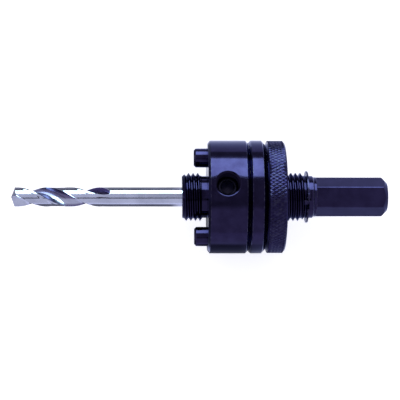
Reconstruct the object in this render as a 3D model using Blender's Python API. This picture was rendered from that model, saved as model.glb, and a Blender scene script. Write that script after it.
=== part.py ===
# Hole saw arbor. A turned body carries a hexagonal shank, a fixed collar and a threaded spigot for the
# saw. A plate with two drive pins slides on the body behind the collar, a knurled nut on the rear
# thread pushes it forward, and a clip keeps the nut on. A set screw in the collar holds the pilot drill.
# The tool lies on its side: its axis runs along X with the drill towards -X, the set screw points
# straight up, and its rims rest on Z = 0.

import math

import bmesh
import bpy

mm = 0.001
degree = math.pi / 180

# Fixed collar. Places along the tool are measured from its front face, where the saw seats.
collar_diameter = 37.3 * mm
collar_width = 13.2 * mm
collar_front_chamfer = 0.75 * mm
collar_front_chamfer_rise = 1.0 * mm
collar_rear_chamfer = 0.8 * mm

# Thread, the same on the spigot and behind the collar
thread_diameter = 15.9 * mm
thread_pitch = 1.5 * mm
thread_depth = 0.93 * mm
thread_crest_share = 0.125
thread_root_share = 0.16
thread_run_out = 0.9 * mm

# Spigot in front of the collar
spigot_length = 8.25 * mm
spigot_chamfer = 1.15 * mm
spigot_entry = 0.25 * mm
spigot_crest_angle = 241.6 * degree
relief_width = 1.9 * mm
relief_inset = 0.12 * mm
relief_slope = 0.2 * mm

# Body behind the collar
guide_length = 4.3 * mm
guide_inset = 0.15 * mm
rear_thread_length = 14.1 * mm
rear_crest_angle = 101.6 * degree
clip_seat_length = 2.9 * mm
clip_seat_inset = 0.07 * mm
clip_seat_slope = 0.1 * mm
shank_neck_slope = 0.35 * mm
shank_neck_length = 0.8 * mm
shank_neck_proud = 0.7 * mm
shank_neck_sink = 0.6 * mm
shank_shoulder = 0.2 * mm
hex_across_flats = 11.3 * mm
hex_turn = 13.6 * degree
hex_length = 23.35 * mm
shank_end_diameter = 9.5 * mm

# Pilot drill, whose point faces -X
drill_diameter = 6.35 * mm
drill_length = 82.5 * mm
drill_projection = 56.45 * mm
drill_bore_clearance = 0.15 * mm
drill_bore_end_gap = 1.0 * mm
flute_length = 33.0 * mm
flute_run_out = 9.0 * mm
flute_lead = 35.6 * mm
flute_start_angle = 33.6 * degree
web_thickness = 1.4 * mm
land_angle = 82 * degree
flute_deepest_share = 0.4
flute_run_out_lag = 18 * degree
flute_run_out_power = 1.6
point_angle = 140 * degree
lip_relief = 12 * degree
point_flat_share = 0.02
point_setback = 0.3 * mm
drill_shank_chamfer = 0.4 * mm

# Set screw, at the root of its thread, a little in front of the collar's middle
set_screw_diameter = 6.7 * mm
set_screw_length = 10.0 * mm
set_screw_offset = 0.45 * mm
set_screw_bore_clearance = 0.12 * mm
set_screw_tip_gap = 0.15 * mm
set_screw_point_diameter = 4.0 * mm
set_screw_edge_chamfer = 0.4 * mm
hex_socket_across_flats = 4.0 * mm
hex_socket_depth = 4.5 * mm
countersink_diameter = 8.8 * mm

# Pin plate and its two drive pins
seat_gap = 0.2 * mm
plate_thickness = 5.2 * mm
plate_front_chamfer = 0.75 * mm
plate_rear_chamfer = 1.0 * mm
plate_bore_clearance = 0.2 * mm
pin_diameter = 6.35 * mm
pin_circle_offset = 0.1 * mm
pin_projection = 4.4 * mm
pin_chamfer = 0.65 * mm
pin_slide_clearance = 0.2 * mm
pin_seat_clearance = 0.1 * mm

# Knurled lock nut, a little smaller than the collar
nut_rim_inset = 0.15 * mm
nut_thickness = 6.35 * mm
nut_nose_inset = 0.95 * mm
nut_nose_length = 0.75 * mm
nut_rear_chamfer = 0.65 * mm
nut_bore_clearance = 0.2 * mm
nut_bore_chamfer = 0.6 * mm
knurl_teeth = 92
knurl_depth = 0.4 * mm
knurl_angle = 30 * degree
knurl_sink = 0.05 * mm

# Retaining clip, an open ring in a groove
clip_thickness = 0.8 * mm
clip_ring_width = 2.05 * mm
clip_lug_rise = 0.6 * mm
clip_lug_angle = 20 * degree
clip_gap_angle = 16 * degree
clip_gap_turn = 31.6 * degree
clip_hole_diameter = 1.0 * mm
clip_setback = 0.75 * mm
groove_depth = 0.45 * mm
groove_clearance = 0.1 * mm

# Facets round each turned form
rim_facets = 60
thread_facets = 36
shaft_facets = 36
pin_facets = 24
hole_facets = 32
clip_facets = 36
clip_hole_facets = 12
land_facets = 12
flute_facets = 12
flute_rows = 28
point_rows = 3

# Places along the tool, from the collar's front face
collar_radius = collar_diameter / 2
thread_root_radius = thread_diameter / 2 - thread_depth
relief_radius = thread_root_radius - relief_inset
guide_radius = thread_diameter / 2 - guide_inset
clip_seat_radius = thread_root_radius - clip_seat_inset
collar_rear = collar_width
guide_end = collar_rear + guide_length
rear_thread_end = guide_end + rear_thread_length
clip_seat_end = rear_thread_end + clip_seat_length
hex_start = clip_seat_end + shank_neck_slope + shank_neck_length
shank_end = hex_start + hex_length
spigot_face = -spigot_length
drill_tip = spigot_face - drill_projection
drill_end = drill_tip + drill_length
plate_front = collar_rear + seat_gap
plate_rear = plate_front + plate_thickness
nut_front = plate_rear + seat_gap
clip_front = rear_thread_end + clip_setback
set_screw_place = collar_width / 2 - set_screw_offset
drill_radius = drill_diameter / 2
drill_bore_radius = drill_radius + drill_bore_clearance
set_screw_bore_radius = set_screw_diameter / 2 + set_screw_bore_clearance
set_screw_tip = drill_radius + set_screw_tip_gap
hex_corner_radius = hex_across_flats / 2 / math.cos(math.pi / 6)
pin_circle_radius = (guide_radius + collar_radius) / 2 + pin_circle_offset
nut_radius = collar_radius - nut_rim_inset
nut_nose_radius = nut_radius - nut_nose_inset
clip_inner_radius = clip_seat_radius - groove_depth + groove_clearance
clip_outer_radius = clip_inner_radius + clip_ring_width
clip_lug_radius = clip_outer_radius + clip_lug_rise
overcut = 1.0 * mm


def ring_row(x, radius, segments):
    """One ring of points round the X axis, its first point half a facet past +Y."""
    row = []
    for step in range(segments + 1):
        angle = (step + 0.5) * 2 * math.pi / segments
        row.append((x, radius * math.cos(angle), radius * math.sin(angle)))
    return row


def thread_rows(start, end, crest_angle, segments):
    """Rows of points that follow a right-hand thread from start to end and run out into its root."""
    flank = (1 - thread_crest_share - thread_root_share) / 2
    stations = [(0, 0), (flank, 1), (flank + thread_crest_share, 1), (1 - thread_root_share, 0)]
    crest_middle = flank + thread_crest_share / 2
    turns = math.ceil((end - start) / thread_pitch) + 3
    rows = []
    for turn in range(turns):
        for share, height in stations:
            row = []
            for step in range(segments + 1):
                angle = (step + 0.5) * 2 * math.pi / segments
                lead = turn - 2 + share - crest_middle + (angle - crest_angle) / (2 * math.pi)
                x = min(max(start + lead * thread_pitch, start), end)
                fade = min(1, (x - start) / thread_run_out, (end - x) / thread_run_out)
                radius = thread_root_radius + thread_depth * height * fade
                row.append((x, radius * math.cos(angle), radius * math.sin(angle)))
            rows.append(row)
    return rows


def skin(name, rows, closed=False, faceted=False):
    """Mesh over rows of points, with flat ends, or with the last row joined to the first."""
    form = bmesh.new()
    grid = [[form.verts.new(point) for point in row] for row in rows]
    pairs = list(zip(grid, grid[1:]))
    if closed:
        pairs.append((grid[-1], grid[0]))
    else:
        form.faces.new(grid[0][:-1])
        form.faces.new(reversed(grid[-1][:-1]))
    for near, far in pairs:
        for step in range(len(near) - 1):
            form.faces.new((near[step], far[step], far[step + 1], near[step + 1]))
    bmesh.ops.remove_doubles(form, verts=form.verts, dist=0.001 * mm)
    bmesh.ops.recalc_face_normals(form, faces=form.faces)
    if faceted:
        bmesh.ops.triangulate(form, faces=form.faces, quad_method="SHORT_EDGE")
    mesh = bpy.data.meshes.new(name)
    form.to_mesh(mesh)
    form.free()
    mesh.shade_smooth()
    mesh.set_sharp_from_angle(angle=30 * degree)
    return mesh


def turned(name, profile, segments, closed=False):
    """Turned form about X from (place, radius) points."""
    return skin(name, [ring_row(x, radius, segments) for x, radius in profile], closed)


def extruded(name, outline, start, end):
    """Prism along X from (y, z) points."""
    rows = []
    for x in (start, end):
        rows.append([(x, y, z) for y, z in outline + outline[:1]])
    return skin(name, rows)


def place(name, mesh, parent, material=None, location=(0, 0, 0)):
    """Object for a mesh. One with no material is a helper: it is hidden and only shapes others."""
    piece = bpy.data.objects.new(name, mesh)
    bpy.context.scene.collection.objects.link(piece)
    piece.parent = parent
    piece.location = location
    if material:
        mesh.materials.append(material)
    else:
        piece.hide_render = True
        piece.display_type = "WIRE"
    return piece


def shape_with(piece, operation, helper):
    """Boolean of a piece with a helper."""
    modifier = piece.modifiers.new(helper.name, "BOOLEAN")
    modifier.operation = operation
    modifier.solver = "EXACT"
    modifier.object = helper


def metal(name, colour, roughness, metallic=1.0):
    """Principled material."""
    material = bpy.data.materials.new(name)
    material.use_nodes = True
    shader = material.node_tree.nodes["Principled BSDF"]
    shader.inputs["Base Color"].default_value = (*colour, 1)
    shader.inputs["Roughness"].default_value = roughness
    shader.inputs["Metallic"].default_value = metallic
    return material


def flute_floor(share, lift):
    """(radius, angle from its middle) of a flute's floor, from the heel side at 0 to the lip side at 1."""
    half = (math.pi - land_angle) / 2
    skew = math.log(0.5) / math.log(flute_deepest_share)
    web = web_thickness / 2
    across = drill_radius * math.sin(half) * (2 * share - 1)
    bowl = (2 * share**skew - 1) ** 2
    depth = web + (drill_radius * math.cos(half) - web) * bowl + lift
    return math.hypot(across, depth), math.atan2(across, depth)


def flute_edge(side, lift):
    """Share at which a lifted flute's floor reaches the drill's surface on one side of its deepest line."""
    inside, outside = flute_deepest_share, side
    for _ in range(24):
        middle = (inside + outside) / 2
        if flute_floor(middle, lift)[0] < drill_radius:
            inside = middle
        else:
            outside = middle
    return inside


def drill_section(lift):
    """(radius, angle) points once round the drill: two lands and two flutes whose floors are lifted."""
    low = flute_edge(0, lift)
    high = flute_edge(1, lift)
    land_start = flute_floor(high, lift)[1] - math.pi / 2
    land_end = flute_floor(low, lift)[1] + math.pi / 2
    points = []
    for side in (0, math.pi):
        for step in range(land_facets):
            angle = land_start + (land_end - land_start) * step / land_facets
            points.append((drill_radius, side + angle))
        for step in range(flute_facets):
            radius, angle = flute_floor(low + (high - low) * step / flute_facets, lift)
            points.append((min(drill_radius, radius), side + math.pi / 2 + angle))
    return points


def drill_point_place(radius, angle):
    """Place on the drill's point: a cone that falls away from each cutting lip to its heel."""
    back = radius / math.tan(point_angle / 2)
    from_lip = (angle + land_angle / 2) % math.pi
    if from_lip > land_angle:
        from_lip = land_angle * (math.pi - from_lip) / (math.pi - land_angle)
    return drill_tip + back + radius * from_lip * math.tan(lip_relief)


def drill_row(points, places, lag=0):
    """Row of drill points turned by the helix at their own places."""
    row = []
    for (radius, angle), x in zip(points, places):
        turn = angle + flute_start_angle + 2 * math.pi * (x - drill_tip) / flute_lead - lag
        row.append((x, radius * math.cos(turn), radius * math.sin(turn)))
    return row + row[:1]


def drill_mesh():
    """Two-flute twist drill: relieved point, helical flutes that run out, and a plain shank."""
    section = drill_section(0)
    rows = []
    for step in range(point_rows + 1):
        share = point_flat_share + (1 - point_flat_share) * step / point_rows
        scaled = [(radius * share, angle) for radius, angle in section]
        rows.append(drill_row(scaled, [drill_point_place(*point) for point in scaled]))
    point_depth = drill_radius / math.tan(point_angle / 2)
    heel_depth = point_depth + drill_radius * land_angle * math.tan(lip_relief)
    first = drill_tip + heel_depth + point_setback
    last = drill_tip + flute_length
    for step in range(flute_rows + 1):
        x = first + (last - first) * step / flute_rows
        run = max(0, (x - (last - flute_run_out)) / flute_run_out)
        lift = (drill_radius - web_thickness / 2) * run**flute_run_out_power
        rows.append(drill_row(drill_section(lift), [x] * len(section), flute_run_out_lag * run**2))
    taper = 1 - drill_shank_chamfer / drill_radius
    for x, share in ((drill_end - drill_shank_chamfer, 1), (drill_end, taper)):
        rows.append([(x, y * share, z * share) for _, y, z in rows[-1]])
    return skin("pilot_drill", rows)


def hexagon(across_flats, turn):
    """(y, z) corners of a hexagon with a flat facing +Z before it is turned about X."""
    radius = across_flats / 2 / math.cos(math.pi / 6)
    return [
        (radius * math.cos(turn + side * math.pi / 3), radius * math.sin(turn + side * math.pi / 3))
        for side in range(6)
    ]


def make_arbor_body(axis, steel):
    """One turned and milled piece: spigot, collar, rear thread, clip groove and hexagonal shank."""
    crest = thread_diameter / 2
    relief_start = -relief_width
    groove_start = clip_front - groove_clearance
    groove_end = clip_front + clip_thickness + groove_clearance
    neck_start = clip_seat_end + shank_neck_slope
    neck_radius = hex_across_flats / 2 + shank_neck_proud
    core = hex_across_flats / 2 - shank_neck_sink
    rows = [ring_row(spigot_face, crest - spigot_chamfer, thread_facets)]
    entry = spigot_face + spigot_entry
    rows += thread_rows(entry, relief_start, spigot_crest_angle, thread_facets)
    for x, radius in (
        (relief_start + relief_slope, relief_radius),
        (0, relief_radius),
        (collar_rear / 2, relief_radius),
        (collar_rear / 2, guide_radius),
        (guide_end - thread_depth, guide_radius),
    ):
        rows.append(ring_row(x, radius, thread_facets))
    rows += thread_rows(guide_end, rear_thread_end, rear_crest_angle, thread_facets)
    for x, radius in (
        (rear_thread_end + clip_seat_slope, clip_seat_radius),
        (groove_start, clip_seat_radius),
        (groove_start, clip_seat_radius - groove_depth),
        (groove_end, clip_seat_radius - groove_depth),
        (groove_end, clip_seat_radius),
        (clip_seat_end, clip_seat_radius),
        (neck_start, neck_radius),
        (hex_start, neck_radius),
        (hex_start + shank_shoulder, core),
    ):
        rows.append(ring_row(x, radius, thread_facets))
    body = place("arbor_body", skin("arbor_body", rows), axis, steel)

    collar = turned(
        "collar_blank",
        [
            (0, collar_radius - collar_front_chamfer_rise),
            (collar_front_chamfer, collar_radius),
            (collar_rear - collar_rear_chamfer, collar_radius),
            (collar_rear, collar_radius - collar_rear_chamfer),
        ],
        rim_facets,
    )
    shape_with(body, "UNION", place("collar_blank", collar, axis))

    bar = extruded("hex_bar", hexagon(hex_across_flats, hex_turn), hex_start, shank_end)
    hex_bar = place("hex_bar", bar, axis)
    rim = hex_corner_radius + overcut
    end_radius = shank_end_diameter / 2
    envelope = turned(
        "hex_bar_envelope",
        [(hex_start - overcut, rim), (shank_end + end_radius - rim, rim), (shank_end, end_radius)],
        rim_facets,
    )
    shape_with(hex_bar, "INTERSECT", place("hex_bar_envelope", envelope, axis))
    shape_with(body, "UNION", hex_bar)

    bore_end = drill_end + drill_bore_end_gap
    bore = turned(
        "drill_bore",
        [(spigot_face - overcut, drill_bore_radius), (bore_end, drill_bore_radius)],
        shaft_facets,
    )
    shape_with(body, "DIFFERENCE", place("drill_bore", bore, axis))
    make_set_screw_hole(axis, body)
    pin_hole_radius = pin_diameter / 2 + pin_slide_clearance
    for name, y in pin_places():
        hole = turned(
            name + "_slot",
            [(-overcut, pin_hole_radius), (collar_rear + overcut, pin_hole_radius)],
            pin_facets,
        )
        shape_with(body, "DIFFERENCE", place(name + "_slot", hole, axis, location=(0, y, 0)))
    return body


def make_set_screw_hole(axis, body):
    """Radial hole from the collar's rim to the drill's bore, countersunk at its mouth."""
    mouth = countersink_diameter / 2
    sink_bottom = collar_radius - (mouth - set_screw_bore_radius)
    hole = turned(
        "set_screw_hole",
        [
            (0, set_screw_bore_radius),
            (sink_bottom, set_screw_bore_radius),
            (collar_radius + overcut, mouth + overcut),
        ],
        hole_facets,
    )
    cutter = place("set_screw_hole", hole, axis, location=(set_screw_place, 0, 0))
    cutter.rotation_euler = (0, -math.pi / 2, 0)
    shape_with(body, "DIFFERENCE", cutter)


def make_set_screw(axis, steel):
    """Socket set screw that presses on the drill's shank, pointing down from the top of the collar."""
    radius = set_screw_diameter / 2
    point = set_screw_point_diameter / 2
    profile = [
        (0, point),
        (radius - point, radius),
        (set_screw_length - set_screw_edge_chamfer, radius),
        (set_screw_length, radius - set_screw_edge_chamfer),
    ]
    mesh = turned("set_screw", profile, hole_facets)
    screw = place("set_screw", mesh, axis, steel, location=(set_screw_place, 0, set_screw_tip))
    screw.rotation_euler = (0, -math.pi / 2, 0)
    socket = extruded(
        "hex_socket",
        hexagon(hex_socket_across_flats, 0),
        set_screw_length - hex_socket_depth,
        set_screw_length + overcut,
    )
    shape_with(screw, "DIFFERENCE", place("hex_socket", socket, screw))
    return screw


def make_pilot_drill(axis, steel):
    """Pilot drill in the body's axial bore."""
    return place("pilot_drill", drill_mesh(), axis, steel)


def pin_places():
    """Name and place across the tool of each drive pin."""
    return [("drive_pin_1", pin_circle_radius), ("drive_pin_2", -pin_circle_radius)]


def make_pin_plate(axis, steel, pin_steel):
    """Sliding plate and its two drive pins, which pass through the collar."""
    bore = thread_diameter / 2 + plate_bore_clearance
    profile = [
        (0, bore),
        (0, collar_radius - plate_front_chamfer),
        (plate_front_chamfer, collar_radius),
        (plate_thickness - plate_rear_chamfer, collar_radius),
        (plate_thickness, collar_radius - plate_rear_chamfer),
        (plate_thickness, bore),
    ]
    mesh = turned("pin_plate", profile, rim_facets, closed=True)
    plate = place("pin_plate", mesh, axis, steel, location=(plate_front, 0, 0))
    pin_radius = pin_diameter / 2
    pin_start = -plate_front - pin_projection
    pin_end = plate_thickness - seat_gap
    seat_radius = pin_radius + pin_seat_clearance
    for name, y in pin_places():
        hole = turned(
            name + "_seat",
            [(-overcut, seat_radius), (plate_thickness + overcut, seat_radius)],
            pin_facets,
        )
        shape_with(plate, "DIFFERENCE", place(name + "_seat", hole, plate, location=(0, y, 0)))
        pin = turned(
            name,
            [
                (pin_start, pin_radius - pin_chamfer),
                (pin_start + pin_chamfer, pin_radius),
                (pin_end - pin_chamfer, pin_radius),
                (pin_end, pin_radius - pin_chamfer),
            ],
            pin_facets,
        )
        place(name, pin, plate, pin_steel, location=(0, y, 0))
    return plate


def knurled_rows(start, end):
    """Rows of a diamond knurl: peaks and valleys that alternate along and round the nut."""
    peak = nut_radius
    valley = peak - knurl_depth
    columns = 2 * knurl_teeth
    row_height = math.pi * nut_radius / knurl_teeth / math.tan(knurl_angle)
    count = max(2, round((end - start) / row_height))
    rows = []
    for index in range(count + 1):
        x = start + (end - start) * index / count
        row = []
        for step in range(columns + 1):
            at_edge = index in (0, count)
            radius = valley if at_edge or (index + step) % 2 else peak
            angle = step * 2 * math.pi / columns
            row.append((x, radius * math.cos(angle), radius * math.sin(angle)))
        rows.append(row)
    return rows


def make_lock_nut(axis, steel):
    """Knurled ring nut that screws along the rear thread."""
    bore = thread_diameter / 2 + nut_bore_clearance
    valley = nut_radius - knurl_depth
    band_end = nut_thickness - nut_rear_chamfer
    mesh = skin("lock_nut", knurled_rows(nut_nose_length, band_end), faceted=True)
    nut = place("lock_nut", mesh, axis, steel, location=(nut_front, 0, 0))
    blank = turned(
        "lock_nut_blank",
        [
            (0, nut_nose_radius),
            (nut_nose_length + overcut, nut_nose_radius),
            (band_end - overcut, valley - overcut),
            (band_end, valley - knurl_sink),
            (nut_thickness, valley - nut_rear_chamfer),
        ],
        rim_facets,
    )
    shape_with(nut, "UNION", place("lock_nut_blank", blank, nut))
    hole = turned(
        "lock_nut_bore",
        [
            (-overcut, bore + nut_bore_chamfer + overcut),
            (nut_bore_chamfer, bore),
            (nut_thickness - nut_bore_chamfer, bore),
            (nut_thickness + overcut, bore + nut_bore_chamfer + overcut),
        ],
        shaft_facets,
    )
    shape_with(nut, "DIFFERENCE", place("lock_nut_bore", hole, nut))
    return nut


def clip_outline():
    """(y, z) outline of the open ring: round the outside with a lug at each end, then back inside."""
    middle = math.pi / 2 + clip_gap_turn
    first = middle + clip_gap_angle / 2
    last = middle + 2 * math.pi - clip_gap_angle / 2
    outline = []
    for step in range(clip_facets + 1):
        angle = first + (last - first) * step / clip_facets
        in_lug = min(angle - first, last - angle) <= clip_lug_angle
        radius = clip_lug_radius if in_lug else clip_outer_radius
        outline.append((radius * math.cos(angle), radius * math.sin(angle)))
    for step in range(clip_facets + 1):
        angle = last - (last - first) * step / clip_facets
        outline.append((clip_inner_radius * math.cos(angle), clip_inner_radius * math.sin(angle)))
    return outline


def make_retaining_clip(axis, steel):
    """Open ring that snaps into the groove and stops the nut."""
    mesh = extruded("retaining_clip", clip_outline(), 0, clip_thickness)
    clip = place("retaining_clip", mesh, axis, steel, location=(clip_front, 0, 0))
    reach = (clip_inner_radius + clip_lug_radius) / 2
    radius = clip_hole_diameter / 2
    for number, side in ((1, 1), (2, -1)):
        angle = math.pi / 2 + clip_gap_turn + side * (clip_gap_angle + clip_lug_angle) / 2
        hole = turned(
            f"clip_hole_{number}",
            [(-overcut, radius), (clip_thickness + overcut, radius)],
            clip_hole_facets,
        )
        spot = (0, reach * math.cos(angle), reach * math.sin(angle))
        shape_with(clip, "DIFFERENCE", place(f"clip_hole_{number}", hole, clip, location=spot))
    return clip


def clear_scene():
    """Empty scene."""
    for item in list(bpy.data.objects):
        bpy.data.objects.remove(item)


def build():
    """All the pieces, on an empty that carries the tool's axis."""
    clear_scene()
    axis = bpy.data.objects.new("arbor_axis", None)
    bpy.context.scene.collection.objects.link(axis)
    rest_radius = collar_radius * math.cos(math.pi / rim_facets)
    axis.location = (-(drill_tip + shank_end) / 2, 0, rest_radius)
    blackened = metal("blackened_steel", (0.016, 0.013, 0.032), 0.32)
    pin_steel = metal("pin_steel", (0.014, 0.012, 0.030), 0.28)
    clip_steel = metal("clip_steel", (0.045, 0.045, 0.075), 0.30)
    bright = metal("ground_steel", (0.56, 0.56, 0.66), 0.16)
    make_arbor_body(axis, blackened)
    make_pilot_drill(axis, bright)
    make_set_screw(axis, clip_steel)
    make_pin_plate(axis, blackened, pin_steel)
    make_lock_nut(axis, blackened)
    make_retaining_clip(axis, clip_steel)


build()
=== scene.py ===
import math
from functools import partial

import bmesh
import bpy
from mathutils import Matrix, Vector


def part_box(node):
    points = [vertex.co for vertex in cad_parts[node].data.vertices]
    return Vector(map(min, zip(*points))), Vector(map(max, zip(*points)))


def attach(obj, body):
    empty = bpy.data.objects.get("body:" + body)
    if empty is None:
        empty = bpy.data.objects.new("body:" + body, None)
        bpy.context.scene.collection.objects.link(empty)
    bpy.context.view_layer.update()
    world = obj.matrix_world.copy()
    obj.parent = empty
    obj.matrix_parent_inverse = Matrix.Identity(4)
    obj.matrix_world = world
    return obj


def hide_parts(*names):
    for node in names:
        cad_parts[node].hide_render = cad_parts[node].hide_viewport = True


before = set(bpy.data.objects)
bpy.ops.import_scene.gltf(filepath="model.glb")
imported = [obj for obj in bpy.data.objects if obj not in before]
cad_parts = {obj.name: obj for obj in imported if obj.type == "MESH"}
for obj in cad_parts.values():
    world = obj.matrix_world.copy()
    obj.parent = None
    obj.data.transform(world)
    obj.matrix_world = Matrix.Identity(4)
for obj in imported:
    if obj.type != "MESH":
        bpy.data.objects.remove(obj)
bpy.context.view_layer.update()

# The tool lies along X: the drill's point is towards -X and the set screw looks straight up.
# Sizes below are in millimetres, and places along the tool are measured from the collar's front face.
mm = 0.001
past = 1.0  # how far cutters reach past the faces that they cut
seam = 0.01  # what is left between the first and the last point of a closed profile
bodyLow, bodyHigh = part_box("arbor_body")
spigotLength = 8.25
collarFace = bodyLow.x + spigotLength * mm
axisHeight = (bodyLow.z + bodyHigh.z) / 2


def toPlace(x, y=0.0, z=0.0):
    return Vector((collarFace + x * mm, y * mm, axisHeight + z * mm))


def onRing(x, radius, angle):
    return toPlace(x, radius * math.cos(angle), radius * math.sin(angle))


def held(value, low=0.0, high=1.0):
    return min(high, max(low, value))


# Materials

def newMaterial(name):
    material = bpy.data.materials.new(name)
    material.use_nodes = True
    tree = material.node_tree
    return material, tree, tree.nodes["Principled BSDF"]


def feed(tree, value, slot):
    # Links an output to a socket, or writes a plain value into it.
    if hasattr(value, "links"):
        tree.links.new(value, slot)
    else:
        slot.default_value = value


def fill(tree, node, values):
    # Feeds the sockets that the values name, and sets the node's own options.
    for key, value in values.items():
        if key in node.inputs:
            feed(tree, value, node.inputs[key])
        else:
            setattr(node, key, value)


def addNode(tree, kind, **values):
    node = tree.nodes.new(kind)
    fill(tree, node, values)
    return node


def mathNode(tree, operation, first, second=None, third=None, clamp=False):
    node = addNode(tree, "ShaderNodeMath", operation=operation, use_clamp=clamp)
    for slot, value in zip(node.inputs, (first, second, third)):
        if value is not None:
            feed(tree, value, slot)
    return node.outputs[0]


def times(tree, *factors):
    product = factors[0]
    for factor in factors[1:]:
        product = mathNode(tree, "MULTIPLY", product, factor)
    return product


def oneMinus(tree, value):
    return mathNode(tree, "SUBTRACT", 1.0, value)


def splitParts(tree, vector):
    return addNode(tree, "ShaderNodeSeparateXYZ", Vector=vector).outputs


def joinParts(tree, x, y, z):
    return addNode(tree, "ShaderNodeCombineXYZ", X=x, Y=y, Z=z).outputs[0]


def noiseAt(tree, vector, scale, detail, roughness):
    node = addNode(tree, "ShaderNodeTexNoise", Vector=vector, Scale=scale, Detail=detail, Roughness=roughness)
    return node.outputs["Fac"]


def stretched(tree, scale):
    coords = tree.nodes.new("ShaderNodeTexCoord").outputs["Object"]
    return addNode(tree, "ShaderNodeMapping", Vector=coords, Scale=scale).outputs[0]


def ramp(tree, value, low, high, fromLow=0.0, fromHigh=1.0):
    return addNode(tree, "ShaderNodeMapRange", **{
        "From Min": fromLow, "From Max": fromHigh, "To Min": low, "To Max": high, "Value": value}).outputs[0]


def rises(tree, value, start, end):
    # 0 before the start and 1 past the end.
    return ramp(tree, value, 0, 1, start, end)


def falls(tree, value, start, end):
    return ramp(tree, value, 1, 0, start, end)


def mixColour(tree, factor, first, second):
    node = addNode(tree, "ShaderNodeMix", data_type="RGBA")
    feed(tree, factor, node.inputs[0])
    for slot, value in ((node.inputs[6], first), (node.inputs[7], second)):
        feed(tree, value if hasattr(value, "links") else (*value, 1), slot)
    return node.outputs[2]


def painted(tree, name):
    # A value that the mesh's points carry.
    return addNode(tree, "ShaderNodeAttribute", attribute_name=name).outputs["Fac"]


def addBump(tree, shader, height, strength):
    bump = addNode(tree, "ShaderNodeBump", Strength=strength, Distance=0.00002, Height=height)
    feed(tree, bump.outputs[0], shader.inputs["Normal"])


# Black oxide on turned steel: almost black with a violet-blue cast, faint rings from the lathe,
# mottling in the salts, bare steel where the edges are knocked, and painted shade that draws the hollows
# deepest black.
blackOxide = {
    "deep": (0.0129, 0.0102, 0.0372), "light": (0.0181, 0.0149, 0.0518), "edgeTint": (0.71, 0.75, 1.0),
    "worn": (0.16, 0.16, 0.24), "wear": 0.5, "hollow": (0.0015, 0.0012, 0.0020), "hollowShadeStrength": 0.75,
    "roughness": 0.12, "mottleRoughness": 0.06, "speckleRoughness": 0.04,
    "latheMarks": 0.4, "speckleHeight": 0.35, "bump": 0.16,
    "mottleScale": 260, "speckleScale": 2600, "markScale": 5200, "patchScale": 900,
    "mottleEdges": (0.35, 0.65), "patchEdges": (0.46, 0.62),
}


def oxideSteel(name, settings, marksAlongX=True):
    material, tree, shader = newMaterial(name)
    plain = stretched(tree, (1, 1, 1))
    rings = stretched(tree, (1, 0.02, 0.02) if marksAlongX else (0.02, 1, 1))
    mottle = noiseAt(tree, plain, settings["mottleScale"], 4, 0.6)
    speckle = noiseAt(tree, plain, settings["speckleScale"], 3, 0.6)
    mark = noiseAt(tree, rings, settings["markScale"], 3, 0.7)
    patch = rises(tree, noiseAt(tree, plain, settings["patchScale"], 4, 0.65), *settings["patchEdges"])
    bare = times(tree, painted(tree, "wear"), patch)
    bare = mathNode(tree, "MULTIPLY", bare, settings["wear"], clamp=True)
    cloudy = rises(tree, mottle, *settings["mottleEdges"])
    colour = mixColour(tree, cloudy, settings["deep"], settings["light"])
    colour = mixColour(tree, bare, colour, settings["worn"])
    # Painted shade: points marked as lying in a hollow are drawn towards the near-black hollow colour.
    sunk = times(tree, painted(tree, "paintedHollowShade"), settings["hollowShadeStrength"])
    colour = mixColour(tree, sunk, colour, settings["hollow"])
    plainRoughness = settings["roughness"] - settings["speckleRoughness"]
    rough = mathNode(tree, "MULTIPLY_ADD", mottle, settings["mottleRoughness"], plainRoughness)
    rough = mathNode(tree, "MULTIPLY_ADD", speckle, settings["speckleRoughness"], rough)
    tint = (*settings["edgeTint"], 1)
    fill(tree, shader, {"Base Color": colour, "Metallic": 1.0, "Specular Tint": tint, "Roughness": rough})
    height = times(tree, mark, settings["latheMarks"])
    height = mathNode(tree, "MULTIPLY_ADD", speckle, settings["speckleHeight"], height)
    addBump(tree, shader, height, settings["bump"])
    return material


# Ground high-speed steel: bright, a little violet, with fine grinding lines that run round the drill.
# The flutes are rougher and get painted shade, and their run-outs get darker painted shade.
drillSteel = {
    "bright": (0.385, 0.41, 0.60), "dull": (0.31, 0.33, 0.49), "stain": (0.06, 0.055, 0.11),
    "flute": (0.070, 0.057, 0.155), "fluteShadeStrength": 0.88, "runOut": (0.042, 0.032, 0.12),
    "roughness": 0.13, "lineRoughness": 0.12, "fluteRoughness": 0.14, "bump": 0.12,
    "lineScale": 6500, "cloudScale": 190, "fleckScale": 1500,
    "cloudEdges": (0.35, 0.65), "fleckEdges": (0.66, 0.76), "fleckDepth": 0.5,
}


def groundSteel(name, settings):
    material, tree, shader = newMaterial(name)
    plain = stretched(tree, (1, 1, 1))
    rings = stretched(tree, (1, 0.06, 0.06))
    lines = noiseAt(tree, rings, settings["lineScale"], 3, 0.7)
    cloud = noiseAt(tree, plain, settings["cloudScale"], 4, 0.6)
    cloud = rises(tree, cloud, *settings["cloudEdges"])
    colour = mixColour(tree, cloud, settings["dull"], settings["bright"])
    fleck = noiseAt(tree, plain, settings["fleckScale"], 5, 0.7)
    fleck = ramp(tree, fleck, 0, settings["fleckDepth"], *settings["fleckEdges"])
    colour = mixColour(tree, fleck, colour, settings["stain"])
    flute = painted(tree, "flute")
    # Painted shade in the flutes, and darker painted shade in their run-outs.
    colour = mixColour(tree, times(tree, flute, settings["fluteShadeStrength"]), colour, settings["flute"])
    colour = mixColour(tree, painted(tree, "runOut"), colour, settings["runOut"])
    plainRoughness = settings["roughness"] - settings["lineRoughness"] / 2
    rough = mathNode(tree, "MULTIPLY_ADD", lines, settings["lineRoughness"], plainRoughness)
    rough = mathNode(tree, "MULTIPLY_ADD", flute, settings["fluteRoughness"], rough)
    fill(tree, shader, {"Base Color": colour, "Metallic": 1.0, "Roughness": rough})
    addBump(tree, shader, lines, settings["bump"])
    return material


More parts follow.
